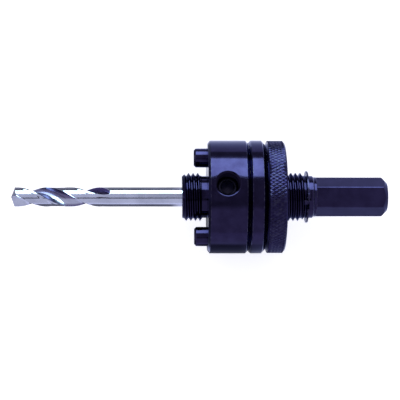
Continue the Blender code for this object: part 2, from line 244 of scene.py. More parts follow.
collarFinish = oxideSteel("collarBlackOxide", blackOxide)
nutFinish = oxideSteel("nutBlackOxide", dict(
    blackOxide, deep=(0.0092, 0.0073, 0.0310), light=(0.0128, 0.0105, 0.0440), roughness=0.22, wear=0.12))
pinFinish = oxideSteel("pinBlackOxide", dict(blackOxide, roughness=0.13))
clipFinish = oxideSteel("clipSpringSteel", dict(
    blackOxide, deep=(0.014, 0.012, 0.036), light=(0.024, 0.021, 0.055), roughness=0.24, wear=0.6), False)
screwFinish = oxideSteel("screwBlackOxide", dict(
    blackOxide, deep=(0.012, 0.011, 0.026), light=(0.028, 0.026, 0.055), roughness=0.22), False)
drillFinish = groundSteel("drillGroundSteel", drillSteel)
print("materials ready")


# Shapes

def softCorners(points, radius, steps=3):
    # Rounds each inner corner of a profile of (x, r) points; the third value is the wear there.
    rounded = [(*points[0], 0.0)]
    for before, here, after in zip(points, points[1:], points[2:]):
        a, b, c = Vector(before), Vector(here), Vector(after)
        toA, toC = (a - b), (c - b)
        turn = toA.angle(toC, math.pi)
        reach = min(radius / math.tan(turn / 2), toA.length * 0.45, toC.length * 0.45)
        outward = (toA.x * toC.y - toA.y * toC.x) > 0
        start, end = b + toA.normalized() * reach, b + toC.normalized() * reach
        for step in range(steps + 1):
            t = step / steps
            spot = start * (1 - t) ** 2 + b * 2 * t * (1 - t) + end * t**2
            rounded.append((spot.x, spot.y, 1.0 if outward and 0 < step < steps else 0.0))
    rounded.append((*points[-1], 0.0))
    return rounded


def meshFrom(form, name):
    mesh = bpy.data.meshes.new(name)
    form.to_mesh(mesh)
    form.free()
    return mesh


def skinned(form, name, rows, ring=False):
    # Lays faces between rows of points, closes the ends or joins them to a ring, and makes the mesh.
    pairs = list(zip(rows, rows[1:]))
    if ring:
        pairs.append((rows[-1], rows[0]))
    else:
        form.faces.new(rows[0])
        form.faces.new(rows[-1])
    for near, far in pairs:
        for step in range(len(near)):
            after = (step + 1) % len(near)
            form.faces.new((near[step], far[step], far[after], near[after]))
    bmesh.ops.remove_doubles(form, verts=form.verts, dist=0.0005 * mm)
    bmesh.ops.recalc_face_normals(form, faces=form.faces)
    return meshFrom(form, name)


def latheMesh(name, profile, segments=128, ring=False):
    # Turns a profile of (x, r) or (x, r, wear) points about the tool's axis.
    form = bmesh.new()
    wearLayer = form.verts.layers.float.new("wear")
    rows = []
    for point in profile:
        row = [form.verts.new(onRing(*point[:2], step * 2 * math.pi / segments)) for step in range(segments)]
        for vert in row:
            vert[wearLayer] = point[2] if len(point) > 2 else 0.0
        rows.append(row)
    return skinned(form, name, rows, ring)


def prismMesh(name, outline, start, end):
    # Prism along X over (y, z) corners.
    form = bmesh.new()
    return skinned(form, name, [[form.verts.new(toPlace(x, y, z)) for y, z in outline] for x in (start, end)])


def addObject(name, data, material=None):
    item = bpy.data.objects.new(name, data)
    bpy.context.scene.collection.objects.link(item)
    if material:
        data.materials.clear()
        data.materials.append(material)
    return item


def plainMesh(item):
    # Applies an object's modifiers and hands back its mesh; the object goes.
    graph = bpy.context.evaluated_depsgraph_get()
    mesh = bpy.data.meshes.new_from_object(item.evaluated_get(graph))
    mesh.transform(item.matrix_world)
    bpy.data.objects.remove(item)
    return mesh


def cutWith(item, mesh, operation="DIFFERENCE"):
    # Boolean of an object's mesh with another mesh, applied at once. Points that it leaves almost on one
    # another are merged, because they would open the edges and break the next cut.
    helper = addObject("cutter", mesh)
    modifier = item.modifiers.new("cut", "BOOLEAN")
    modifier.operation = operation
    modifier.solver = "EXACT"
    modifier.object = helper
    graph = bpy.context.evaluated_depsgraph_get()
    graph.update()
    result = bpy.data.meshes.new_from_object(item.evaluated_get(graph))
    item.modifiers.clear()
    form = bmesh.new()
    form.from_mesh(result)
    bmesh.ops.remove_doubles(form, verts=form.verts, dist=0.001 * mm)
    form.to_mesh(result)
    form.free()
    old = item.data
    item.data = result
    bpy.data.meshes.remove(old)
    bpy.data.objects.remove(helper)


def softenEdges(item, width, angle):
    modifier = item.modifiers.new("soften", "BEVEL")
    modifier.width = width * mm
    modifier.segments = 2
    modifier.limit_method = "ANGLE"
    modifier.angle_limit = math.radians(angle)


def joined(name, meshes, material):
    form = bmesh.new()
    for mesh in meshes:
        if "wear" not in mesh.attributes:
            mesh.attributes.new("wear", "FLOAT", "POINT")
        form.from_mesh(mesh)
    return addObject(name, meshFrom(form, name), material)


def paintHollowShade(mesh, hollowShadeAt):
    # Marks from 0 to 1 how much painted shade each point gets, darkest deep in the hollows.
    layer = mesh.attributes.new("paintedHollowShade", "FLOAT", "POINT")
    for vert, value in zip(mesh.vertices, layer.data):
        value.value = held(hollowShadeAt((vert.co - toPlace(0)) / mm))


def standUp(mesh, place):
    # Turns a form made along the tool's axis so that it runs straight up from the axis at a place.
    turn = Matrix.Rotation(-math.pi / 2, 4, "Y")
    mesh.transform(Matrix.Translation(toPlace(place)) @ turn @ Matrix.Translation(-toPlace(0)))
    return mesh


def shiftMesh(mesh, y, z=0.0):
    mesh.transform(Matrix.Translation((0, y * mm, z * mm)))
    return mesh


def finishPiece(item, body, nodes, smooth=32):
    item.data.shade_smooth()
    item.data.set_sharp_from_angle(angle=math.radians(smooth))
    # Large faces keep their own direction, so that they reflect evenly up to their edges.
    modifier = item.modifiers.new("evenNormals", "WEIGHTED_NORMAL")
    modifier.keep_sharp = True
    graph = bpy.context.evaluated_depsgraph_get()
    graph.update()
    mesh = bpy.data.meshes.new_from_object(item.evaluated_get(graph))
    item.modifiers.clear()
    item.data = mesh
    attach(item, body)
    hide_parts(*nodes)
    return item


# Geometry nodes

def newTree(name, lengths, counts):
    # An empty geometry tree with named inputs, and those inputs by name.
    tree = bpy.data.node_groups.new(name, "GeometryNodeTree")
    for labels, kind in ((lengths, "Float"), (counts, "Int"), (["Material"], "Material")):
        for label in labels:
            tree.interface.new_socket(label, in_out="INPUT", socket_type="NodeSocket" + kind)
    tree.interface.new_socket("Geometry", in_out="OUTPUT", socket_type="NodeSocketGeometry")
    given = tree.nodes.new("NodeGroupInput")
    return tree, {socket.name: socket for socket in given.outputs}


def positionParts(tree):
    return splitParts(tree, tree.nodes.new("GeometryNodeInputPosition").outputs[0])


def roundAxis(tree, x, angle, radius):
    y = times(tree, mathNode(tree, "COSINE", angle), radius)
    return joinParts(tree, x, y, times(tree, mathNode(tree, "SINE", angle), radius))


def movedTo(tree, geometry, position):
    return addNode(tree, "GeometryNodeSetPosition", Geometry=geometry, Position=position).outputs[0]


def realised(tree, geometry):
    return addNode(tree, "GeometryNodeRealizeInstances", Geometry=geometry).outputs[0]


def paintAndEnd(tree, geometry, material):
    paint = addNode(tree, "GeometryNodeSetMaterial", Geometry=geometry, Material=material)
    tree.links.new(paint.outputs[0], tree.nodes.new("NodeGroupOutput").inputs[0])
    return tree


def grown(name, tree, values):
    # Runs a geometry tree on an empty mesh and hands back the plain mesh it makes.
    carrier = addObject(name, bpy.data.meshes.new(name))
    modifier = carrier.modifiers.new(name, "NODES")
    modifier.node_group = tree
    for item in tree.interface.items_tree:
        if item.in_out == "INPUT" and item.name in values:
            modifier[item.identifier] = values[item.name]
    bpy.context.view_layer.update()
    return plainMesh(carrier)


def makeThreadTree():
    # A ridge of trapezoid section that follows a helix about the tool's axis.
    tree, value = newTree("threadRidge", [
        "Start", "End", "Pitch", "Core Radius", "Depth", "Crest Half", "Foot Half", "Sink", "Crest Angle",
        "Run Out", "Limit Radius", "Limit Slope"], ["Steps"])
    calc = partial(mathNode, tree)
    grid = addNode(tree, "GeometryNodeMeshGrid", **{
        "Size X": 1.0, "Size Y": 3.0, "Vertices X": value["Steps"], "Vertices Y": 4})
    run, across, _ = positionParts(tree)
    along = calc("ADD", run, 0.5)
    side = calc("SIGN", across)
    onTop = calc("LESS_THAN", calc("ABSOLUTE", across), 1.0)
    span = calc("SUBTRACT", value["End"], value["Start"])
    centre = calc("MULTIPLY_ADD", along, span, value["Start"])
    fromStart = calc("SUBTRACT", centre, value["Start"])
    nearEnd = calc("MINIMUM", fromStart, calc("SUBTRACT", value["End"], centre))
    fade = calc("DIVIDE", nearEnd, value["Run Out"], clamp=True)
    half = calc("ADD", calc("MULTIPLY", onTop, value["Crest Half"]),
                calc("MULTIPLY", calc("SUBTRACT", 1.0, onTop), value["Foot Half"]))
    rise = calc("ADD", calc("MULTIPLY", calc("MULTIPLY", onTop, value["Depth"]), fade),
                calc("MULTIPLY", calc("SUBTRACT", onTop, 1.0), value["Sink"]))
    x = calc("MULTIPLY_ADD", calc("MULTIPLY", side, half), fade, centre)
    radius = calc("ADD", value["Core Radius"], rise)
    inward = calc("SUBTRACT", x, value["Start"])
    limit = calc("MULTIPLY_ADD", inward, value["Limit Slope"], value["Limit Radius"])
    radius = calc("MINIMUM", radius, limit)
    turn = calc("DIVIDE", fromStart, value["Pitch"])
    angle = calc("MULTIPLY_ADD", turn, 2 * math.pi, value["Crest Angle"])
    ridge = movedTo(tree, grid.outputs["Mesh"], roundAxis(tree, x, angle, radius))
    return paintAndEnd(tree, realised(tree, ridge), value["Material"])


threadTree = makeThreadTree()


def turnOutwards(mesh, outwards=True):
    total = 0.0
    for face in mesh.polygons:
        centre = face.center
        total += face.area * (face.normal.y * centre.y + face.normal.z * centre.z)
    if (total > 0) != outwards:
        mesh.flip_normals()


def threadMesh(name, settings, material):
    # Makes a thread about the tool's axis, with its faces turned outwards (inwards in a hole).
    pitch = settings["pitch"]
    turns = (settings["end"] - settings["start"]) / pitch
    mesh = grown(name, threadTree, {
        "Start": settings["start"] * mm, "End": settings["end"] * mm, "Pitch": pitch * mm,
        "Core Radius": settings["root"] * mm, "Depth": settings["depth"] * mm, "Sink": settings["sink"] * mm,
        "Crest Half": pitch * settings["crest"] * mm, "Foot Half": pitch * settings["foot"] * mm,
        "Run Out": settings["runOut"] * mm, "Crest Angle": settings["angle"],
        "Limit Radius": settings["limitRadius"] * mm, "Limit Slope": settings["limitSlope"],
        "Steps": int(turns * settings["facets"]) + 1, "Material": material,
    })
    turnOutwards(mesh, settings["depth"] > 0)
    return mesh


def makeKnurlTree():
    # Flat-topped diamonds set on a staggered lattice round the tool's axis, with V grooves between them.
    tree, value = newTree("knurlBand", [
        "Start", "Width", "Radius", "Depth", "Flat Share", "Skirt", "Chamfer"], ["Teeth", "Half Rows"])
    calc = partial(mathNode, tree)
    columns = calc("MULTIPLY", value["Teeth"], 2.0)
    rowCount = calc("ADD", value["Half Rows"], 1.0)
    points = addNode(tree, "GeometryNodeMeshGrid", **{"Vertices X": columns, "Vertices Y": rowCount})
    index = tree.nodes.new("GeometryNodeInputIndex").outputs[0]
    column = calc("FLOOR", calc("DIVIDE", calc("ADD", index, 0.5), rowCount))
    row = calc("SUBTRACT", index, calc("MULTIPLY", column, rowCount))
    angle = calc("MULTIPLY", calc("DIVIDE", column, columns), 2 * math.pi)
    x = calc("MULTIPLY_ADD", calc("DIVIDE", row, value["Half Rows"]), value["Width"], value["Start"])
    skirtHeight = calc("MULTIPLY", value["Depth"], value["Skirt"])
    low = calc("SUBTRACT", calc("SUBTRACT", value["Radius"], value["Depth"]), skirtHeight)
    lattice = movedTo(tree, points.outputs["Mesh"], roundAxis(tree, x, angle, low))
    odd = calc("GREATER_THAN", calc("MODULO", calc("ADD", column, row), 2.0), 0.5)
    thin = addNode(tree, "GeometryNodeDeleteGeometry", domain="POINT", Geometry=lattice, Selection=odd)

    growth = calc("MULTIPLY", value["Skirt"], oneMinus(tree, value["Flat Share"]))
    diamond = addNode(tree, "GeometryNodeMeshCone", fill_type="TRIANGLE_FAN", **{
        "Vertices": 4, "Side Segments": 1, "Fill Segments": 2, "Radius Top": value["Flat Share"],
        "Radius Bottom": calc("ADD", growth, 1.0), "Depth": calc("ADD", value["Skirt"], 1.0)})
    spot = positionParts(tree)
    reach = calc("ADD", calc("ABSOLUTE", spot[0]), calc("ABSOLUTE", spot[1]))
    onRim = calc("GREATER_THAN", reach, calc("MULTIPLY", value["Flat Share"], 0.9))
    onTop = calc("GREATER_THAN", spot[2], calc("ADD", value["Skirt"], 0.9))
    mark = addNode(
        tree, "GeometryNodeStoreNamedAttribute", data_type="FLOAT", domain="POINT", Name="wear",
        Geometry=diamond.outputs["Mesh"], Value=calc("MULTIPLY", onRim, onTop))

    pointSpot = positionParts(tree)
    lean = calc("SUBTRACT", calc("ARCTAN2", pointSpot[2], pointSpot[1]), math.pi / 2)
    halfLong = calc("DIVIDE", value["Width"], value["Half Rows"])
    halfWide = calc("DIVIDE", calc("MULTIPLY", value["Radius"], math.pi), value["Teeth"])
    place = addNode(
        tree, "GeometryNodeInstanceOnPoints", Points=thin.outputs[0], Instance=mark.outputs[0],
        Rotation=joinParts(tree, lean, 0.0, 0.0), Scale=joinParts(tree, halfLong, halfWide, value["Depth"]))
    band = realised(tree, place.outputs[0])

    # The band ends flat, with a small chamfer on its diamonds.
    end = positionParts(tree)
    last = calc("ADD", value["Start"], value["Width"])
    inside = calc("MINIMUM", calc("MAXIMUM", end[0], value["Start"]), last)
    radius = calc("SQRT", calc("ADD", calc("POWER", end[1], 2.0), calc("POWER", end[2], 2.0)))
    toEnd = calc("MINIMUM", calc("SUBTRACT", inside, value["Start"]), calc("SUBTRACT", last, inside))
    limit = calc("SUBTRACT", value["Radius"], calc("MAXIMUM", calc("SUBTRACT", value["Chamfer"], toEnd), 0.0))
    shrink = calc("DIVIDE", calc("MINIMUM", radius, limit), radius)
    trimmed = joinParts(tree, inside, times(tree, end[1], shrink), times(tree, end[2], shrink))
    return paintAndEnd(tree, movedTo(tree, band, trimmed), value["Material"])


knurlTree = makeKnurlTree()


def onToolAxis(mesh):
    # The trees work about the X axis from the collar's face, so their meshes are carried to the tool.
    mesh.transform(Matrix.Translation((collarFace, 0, axisHeight)))
    return mesh


print("geometry trees ready")


# Collar, spigot and shank: one turned and milled piece

bodySizes = {
    "collarRadius": 18.62, "collarWidth": 13.2, "frontChamfer": 0.75, "frontRise": 1.0, "rearChamfer": 0.8,
    "spigotLength": spigotLength, "spigotChamfer": 0.25, "rootRadius": 7.06,
    "neckWidth": 1.9, "neckRadius": 6.9, "neckSlope": 0.2,
    "guideEnd": 17.5, "guideRadius": 7.8, "guideSlope": 0.8,
    "threadEnd": 31.6, "seatSlope": 0.1, "seatEnd": 34.5, "seatRadius": 6.95,
    "grooveStart": 32.3, "grooveEnd": 32.98, "grooveDepth": 0.45, "behindSlope": 0.35, "behindRadius": 6.5,
    "hexStart": 35.65, "hexStep": 0.2, "hexFlats": 11.3, "hexTurn": 13.6, "hexRound": 0.65, "shankEnd": 59.0,
    "endRadius": 4.75, "shankReach": 8.0, "coreRadius": 4.9, "coreInset": 5.0, "edge": 0.12,
    "boreStart": -20, "boreEnd": 18.8, "boreRadius": 3.325,
    "pinHole": 3.375, "pinFlare": 0.15, "pinRing": 13.325,
    "screwPlace": 6.15, "screwRadius": 3.45, "sinkRadius": 4.12, "sinkEnd": 0.05,
    "rimRound": 0.13, "rimSlope": 0.4, "outside": (1.5, 3.2), "bendFrom": 0.3, "bendTo": 0.5, "bendStep": 0.1,
}
bodyThread = {
    "pitch": 1.5, "root": 7.02, "depth": 0.91, "crest": 0.05, "foot": 0.49, "sink": 0.08, "facets": 72,
    "limitRadius": 100, "limitSlope": 0.0,
}
spigotThread = dict(
    bodyThread, start=-8.2, end=-1.7, angle=math.radians(241.6), runOut=0.55, limitRadius=6.9, limitSlope=1.0)
rearThread = dict(bodyThread, start=17.4, end=31.7, angle=math.radians(101.6), runOut=0.8)
holeThread = dict(
    bodyThread, start=5.5, topGap=0.25, angle=0.4, runOut=0.3, pitch=1.25, root=4.0, depth=-0.67, sink=-0.05,
    facets=56)
# Painted shade in the hollows, from 0 outside to 1. The light reaches the front of the screw hole's cone,
# which gets less.
hollowShades = {
    "hole": 1.0, "holeFrom": 8, "cone": 0.65, "litCone": 0.15, "coneFrom": 16, "litBefore": -2.5,
    "slack": 0.05, "thread": 0.2, "threadTop": 7.8, "threadFade": 2, "threadFloor": 5,
    "spigotThread": (-8.15, -1.75),
}


def roundedHexagon(flats, turn, radius, steps=4):
    points = []
    for side in range(6):
        middle = turn + side * math.pi / 3
        reach = (flats / 2 - radius) / math.cos(math.pi / 6)
        for step in range(steps + 1):
            angle = middle + (step / steps - 0.5) * math.pi / 3
            points.append((reach * math.cos(middle) + radius * math.cos(angle),
                           reach * math.sin(middle) + radius * math.sin(angle)))
    return points


def hexagonCorners(corner):
    angles = [side * math.pi / 3 for side in range(6)]
    return [(corner * math.cos(angle), corner * math.sin(angle)) for angle in angles]


def makeArborBody(sizes, shades):
    seat, root = sizes["seatRadius"], sizes["rootRadius"]
    collar, width = sizes["collarRadius"], sizes["collarWidth"]
    spigot, grooveFloor = -sizes["spigotLength"], seat - sizes["grooveDepth"]
    coreEnd = sizes["shankEnd"] - sizes["coreInset"]
    profile = [
        (spigot, 0.0),
        (spigot, root - sizes["spigotChamfer"]),
        (spigot + sizes["spigotChamfer"], root),
        (-sizes["neckWidth"] - sizes["neckSlope"], root),
        (-sizes["neckWidth"], sizes["neckRadius"]),
        (0.0, sizes["neckRadius"]),
        (0.0, collar - sizes["frontRise"]),
        (sizes["frontChamfer"], collar),
        (width - sizes["rearChamfer"], collar),
        (width, collar - sizes["rearChamfer"]),
        (width, sizes["guideRadius"]),
        (sizes["guideEnd"] - sizes["guideSlope"], sizes["guideRadius"]),
        (sizes["guideEnd"], root),
        (sizes["threadEnd"], root),
        (sizes["threadEnd"] + sizes["seatSlope"], seat),
        (sizes["grooveStart"], seat),
        (sizes["grooveStart"], grooveFloor),
        (sizes["grooveEnd"], grooveFloor),
        (sizes["grooveEnd"], seat),
        (sizes["seatEnd"], seat),
        (sizes["seatEnd"] + sizes["behindSlope"], sizes["behindRadius"]),
        (sizes["hexStart"], sizes["behindRadius"]),
        (sizes["hexStart"] + sizes["hexStep"], sizes["coreRadius"]),
        (coreEnd, sizes["coreRadius"]),
        (coreEnd, 0.0),
    ]
    body = addObject("arborTurned", latheMesh("arborTurned", softCorners(profile, sizes["edge"])))
    bore, hole, flare = sizes["boreRadius"], sizes["pinHole"], sizes["pinFlare"]
    cutWith(body, latheMesh("boreCutter", [(sizes["boreStart"], bore), (sizes["boreEnd"], bore)], 64))
    for side in (1, -1):
        wide = hole + flare + past
        cutter = latheMesh("pinHoleCutter", [
            (-past, wide), (flare, hole), (width - flare, hole), (width + past, wide)], 56)
        cutWith(body, shiftMesh(cutter, side * sizes["pinRing"]))

    # The set screw's hole: its cone and its rim follow the collar's curve.
    mouth, minor, rim = sizes["sinkRadius"], sizes["screwRadius"], sizes["rimRound"]
    drop = mouth - minor + sizes["sinkEnd"]
    coneStart, coneEnd = collar - drop, collar - sizes["sinkEnd"]
    above, aside = sizes["outside"]
    well = standUp(latheMesh("screwHoleCutter", [
        (0, minor), (coneStart - sizes["bendStep"], minor), (coneStart, minor), (coneEnd, mouth),
        (coneEnd + rim * sizes["rimSlope"], mouth + rim), (collar + above, mouth + rim + aside),
    ], 72), sizes["screwPlace"])
    for vert in well.vertices:
        spot = (vert.co - toPlace(0)) / mm
        if coneStart - sizes["bendFrom"] < spot.z < collar + sizes["bendTo"]:
            vert.co.z -= (collar - math.sqrt(collar**2 - spot.y**2)) * mm
    cutWith(body, well)

    # The hexagon is milled from a bar whose end is a cone.
    hexagon = roundedHexagon(sizes["hexFlats"], math.radians(sizes["hexTurn"]), sizes["hexRound"])
    shank = addObject("arborShank", prismMesh("arborShank", hexagon, sizes["hexStart"], sizes["shankEnd"]))
    reach = sizes["shankReach"]
    cutWith(shank, latheMesh("shankEnvelope", [
        (sizes["hexStart"] - past, reach), (sizes["shankEnd"] + sizes["endRadius"] - reach, reach),
        (sizes["shankEnd"], sizes["endRadius"])], 96), "INTERSECT")

    inner = dict(holeThread, end=coneStart - holeThread["topGap"])
    item = joined("arborBody", [
        body.data, plainMesh(shank),
        onToolAxis(threadMesh("spigotThread", spigotThread, collarFinish)),
        onToolAxis(threadMesh("rearThread", rearThread, collarFinish)),
        standUp(onToolAxis(threadMesh("holeThread", inner, collarFinish)), sizes["screwPlace"]),
    ], collarFinish)
    bpy.data.objects.remove(body)

    # Painted shade: how dark each point of the body is drawn, by the hollow it lies in.
    def hollowShadeAt(spot):
        fromAxis, fromHole = math.hypot(spot.y, spot.z), math.hypot(spot.x - sizes["screwPlace"], spot.y)
        if spot.z > shades["holeFrom"] and fromHole < minor + shades["slack"]:
            return shades["hole"]
        if spot.z > shades["coneFrom"] and fromHole < mouth + shades["slack"]:
            return shades["cone"] if spot.y > shades["litBefore"] else shades["litCone"]
        first, last = shades["spigotThread"]
        threaded = first < spot.x < last or sizes["guideEnd"] < spot.x < sizes["threadEnd"]
        if threaded and fromAxis > shades["threadFloor"]:
            return min(shades["thread"], (shades["threadTop"] - fromAxis) / shades["threadFade"])
        return 0.0

    paintHollowShade(item.data, hollowShadeAt)
    return finishPiece(item, "arbor", ["arbor_body"])


makeArborBody(bodySizes, hollowShades)
print("arbor body made")


# Set screw

screwSizes = {
    "tip": 3.33, "length": 10.0, "radius": 3.32, "point": 2.0, "topChamfer": 0.45, "edge": 0.06,
    "socketFlats": 4.0, "socketDepth": 4.5, "socketChamfer": 0.35, "shade": 0.55,
}


def makeSetScrew(sizes):
    tip, end = sizes["tip"], sizes["tip"] + sizes["length"]
    radius, chamfer = sizes["radius"], sizes["socketChamfer"]
    profile = [
        (tip, 0.0), (tip, sizes["point"]), (tip + radius - sizes["point"], radius),
        (end - sizes["topChamfer"], radius), (end, radius - sizes["topChamfer"]), (end, 0.0),
    ]
    screw = addObject("setScrew", latheMesh("setScrew", softCorners(profile, sizes["edge"]), 72), screwFinish)
    mouth = sizes["socketFlats"] / 2 / math.cos(math.pi / 6)
    cutWith(screw, prismMesh("socketCutter", hexagonCorners(mouth), end - sizes["socketDepth"], end + past))
    cutWith(screw, latheMesh("socketFlare", [
        (end - chamfer, mouth - chamfer), (end + past / 2, mouth + past / 2)], 48))
    standUp(screw.data, bodySizes["screwPlace"])
    # Painted shade: the whole screw is drawn darker, as it sits deep in its hole.
    paintHollowShade(screw.data, lambda spot: sizes["shade"])
    return finishPiece(screw, "set_screw", ["set_screw"])


makeSetScrew(screwSizes)
print("set screw made")


# Pin plate and drive pins

plateSizes = {
    "front": 13.4, "thickness": 5.2, "radius": 18.62, "bore": 8.15, "frontChamfer": 0.75, "rearChamfer": 1.0,
    "edge": 0.12, "pinHole": 3.225,
}
pinSizes = {"radius": 3.17, "front": -4.4, "end": 18.4, "chamfer": 0.65, "edge": 0.08, "ring": 13.325}


def makePinPlate(sizes, pins):
    front, back = sizes["front"], sizes["front"] + sizes["thickness"]
    middle, outer, bore = (front + back) / 2, sizes["radius"], sizes["bore"]
    profile = [
        (middle, bore), (front, bore), (front, outer - sizes["frontChamfer"]),
        (front + sizes["frontChamfer"], outer), (back - sizes["rearChamfer"], outer),
        (back, outer - sizes["rearChamfer"]), (back, bore), (middle + seam, bore),
    ]
    mesh = latheMesh("pinPlate", softCorners(profile, sizes["edge"]), ring=True)
    plate = addObject("pinPlate", mesh, collarFinish)
    hole, radius, chamfer = sizes["pinHole"], pins["radius"], pins["chamfer"]
    for side in (1, -1):
        seat = latheMesh("pinSeatCutter", [(front - 2 * past, hole), (back + 2 * past, hole)], 56)
        cutWith(plate, shiftMesh(seat, side * pins["ring"]))
    finishPiece(plate, "pin_plate", ["pin_plate"])
    profile = [
        (pins["front"], 0.0), (pins["front"], radius - chamfer), (pins["front"] + chamfer, radius),
        (pins["end"] - chamfer, radius), (pins["end"], radius - chamfer), (pins["end"], 0.0),
    ]
    for number, side in ((1, 1), (2, -1)):
        mesh = latheMesh(f"drivePin{number}", softCorners(profile, pins["edge"]), 64)
        pin = addObject(f"drivePin{number}", shiftMesh(mesh, side * pins["ring"]), pinFinish)
        finishPiece(pin, "pin_plate", [f"drive_pin_{number}"])


makePinPlate(plateSizes, pinSizes)
print("pin plate and pins made")


# Knurled lock nut

nutSizes = {
    "front": 18.8, "thickness": 6.35, "rimRadius": 18.5, "bore": 8.15, "boreChamfer": 0.6, "edge": 0.08,
    "noseRadius": 17.2, "noseRise": 0.5, "noseLength": 0.75, "noseStep": 0.1,
    "teeth": 92, "halfRows": 5, "depth": 0.155, "floorGap": 0.03, "flatShare": 0.3, "skirt": 0.35,
    "bandEnd": 5.85, "bandLap": 0.05, "bandChamfer": 0.12,
}


def makeLockNut(sizes):
    front, back = sizes["front"], sizes["front"] + sizes["thickness"]
    middle, bore, chamfer = (front + back) / 2, sizes["bore"], sizes["boreChamfer"]
    rim = sizes["rimRadius"] - sizes["depth"] - sizes["floorGap"]
    bandStart, bandEnd = front + sizes["noseLength"], front + sizes["bandEnd"]
    profile = [
        (middle, bore), (front + chamfer, bore), (front, bore + chamfer), (front, sizes["noseRadius"]),
        (bandStart, sizes["noseRadius"] + sizes["noseRise"]), (bandStart + sizes["noseStep"], rim),
        (bandEnd - sizes["bandLap"], rim), (back, rim - (back - bandEnd)), (back, bore + chamfer),
        (back - chamfer, bore), (middle + seam, bore),
    ]
    ring = latheMesh("nutRing", softCorners(profile, sizes["edge"]), ring=True)
    band = onToolAxis(grown("nutKnurl", knurlTree, {
        "Start": bandStart * mm, "Width": (bandEnd - bandStart) * mm, "Radius": sizes["rimRadius"] * mm,
        "Depth": sizes["depth"] * mm, "Teeth": sizes["teeth"], "Half Rows": sizes["halfRows"],
        "Flat Share": sizes["flatShare"], "Skirt": sizes["skirt"], "Chamfer": sizes["bandChamfer"] * mm,
        "Material": nutFinish,
    }))
    item = joined("lockNut", [ring, band], nutFinish)
    return finishPiece(item, "lock_nut", ["lock_nut"])


makeLockNut(nutSizes)
print("lock nut made")


# Retaining clip

clipSizes = {
    "front": 32.38, "thickness": 0.52, "inner": 6.6, "outer": 8.5, "edge": 0.05, "steps": 120,
    "lug": 9.2, "lugAngle": 20, "lugBlend": 0.06, "hole": 0.5, "gapAngle": 16, "gapTurn": 31.6,
}


def makeClip(sizes):
    front, steps = sizes["front"], sizes["steps"]
    middle = math.radians(90 + sizes["gapTurn"])
    halfGap, lugSpan = math.radians(sizes["gapAngle"]) / 2, math.radians(sizes["lugAngle"])
    first, last = middle + halfGap, middle + 2 * math.pi - halfGap
    angles = [first + (last - first) * step / steps for step in range(steps + 1)]
    outline = []
    for angle in angles:
        blend = held((lugSpan - min(angle - first, last - angle)) / sizes["lugBlend"])
        radius = sizes["outer"] + (sizes["lug"] - sizes["outer"]) * blend
        outline.append((radius * math.cos(angle), radius * math.sin(angle)))
    for angle in reversed(angles):
        outline.append((sizes["inner"] * math.cos(angle), sizes["inner"] * math.sin(angle)))
    clip = addObject("retainingClip", prismMesh("retainingClip", outline, front, front + sizes["thickness"]))
    reach = (sizes["inner"] + sizes["lug"]) / 2
    for side in (1, -1):
        angle = middle + side * (halfGap + lugSpan / 2)
        cutter = latheMesh("clipHoleCutter", [
            (front - past, sizes["hole"]), (front + 2 * past, sizes["hole"])], 24)
        cutWith(clip, shiftMesh(cutter, reach * math.cos(angle), reach * math.sin(angle)))
    softenEdges(clip, sizes["edge"], 50)
    item = joined("retainingClip", [plainMesh(clip)], clipFinish)
    return finishPiece(item, "arbor", ["retaining_clip"])


makeClip(clipSizes)
print("retaining clip made")


# Pilot drill

drillSizes = {
    "radius": 3.175, "tip": -64.7, "end": 17.8, "fluteLength": 33.0, "runOut": 9.0, "lead": 35.6,
    "startAngle": 33.6, "web": 1.4, "landAngle": 82, "deepest": 0.4, "lag": 18, "runOutPower": 1.6,
    "pointAngle": 140, "lipRelief": 12, "marginAngle": 11, "marginRelief": 0.09, "shankChamfer": 0.4,
    "marginSteps": 5, "landSteps": 26, "fluteSteps": 30, "rows": 130, "pointGap": 0.15,
    "marginRamp": 12, "heelRamp": 40, "pointShares": (0.015, 0.1, 0.25, 0.4, 0.55, 0.7, 0.85, 1.0),
}
# Where the flutes get painted shade and more roughness: all over at their sides, and less in the strip where
# the light's streak falls and near the tip; and how fast the painted shade of the run-out sets in.
drillShades = {
    "strip": 0.7, "stripHalf": 0.1, "stripFade": 0.12, "stripLevel": 0.25, "tipFrom": 5, "tipFade": 3,
    "tipLevel": 0.1, "runOutShadeFrom": 0.04, "runOutShadeFade": 0.12, "slack": 0.01,
}


def fluteFloor(sizes, share, lift):
    landAngle = math.radians(sizes["landAngle"])
    half = (math.pi - landAngle) / 2
    skew = math.log(0.5) / math.log(sizes["deepest"])
    web = sizes["web"] / 2
    across = sizes["radius"] * math.sin(half) * (2 * share - 1)
    bowl = (2 * share**skew - 1) ** 2
    depth = web + (sizes["radius"] * math.cos(half) - web) * bowl + lift
    return math.hypot(across, depth), math.atan2(across, depth)


def fluteEdge(sizes, side, lift):
    # Halves the way to where the flute's floor meets the drill's round side.
    inside, outside = sizes["deepest"], side
    for _ in range(30):
        middle = (inside + outside) / 2
        if fluteFloor(sizes, middle, lift)[0] < sizes["radius"]:
            inside = middle
        else:
            outside = middle
    return inside


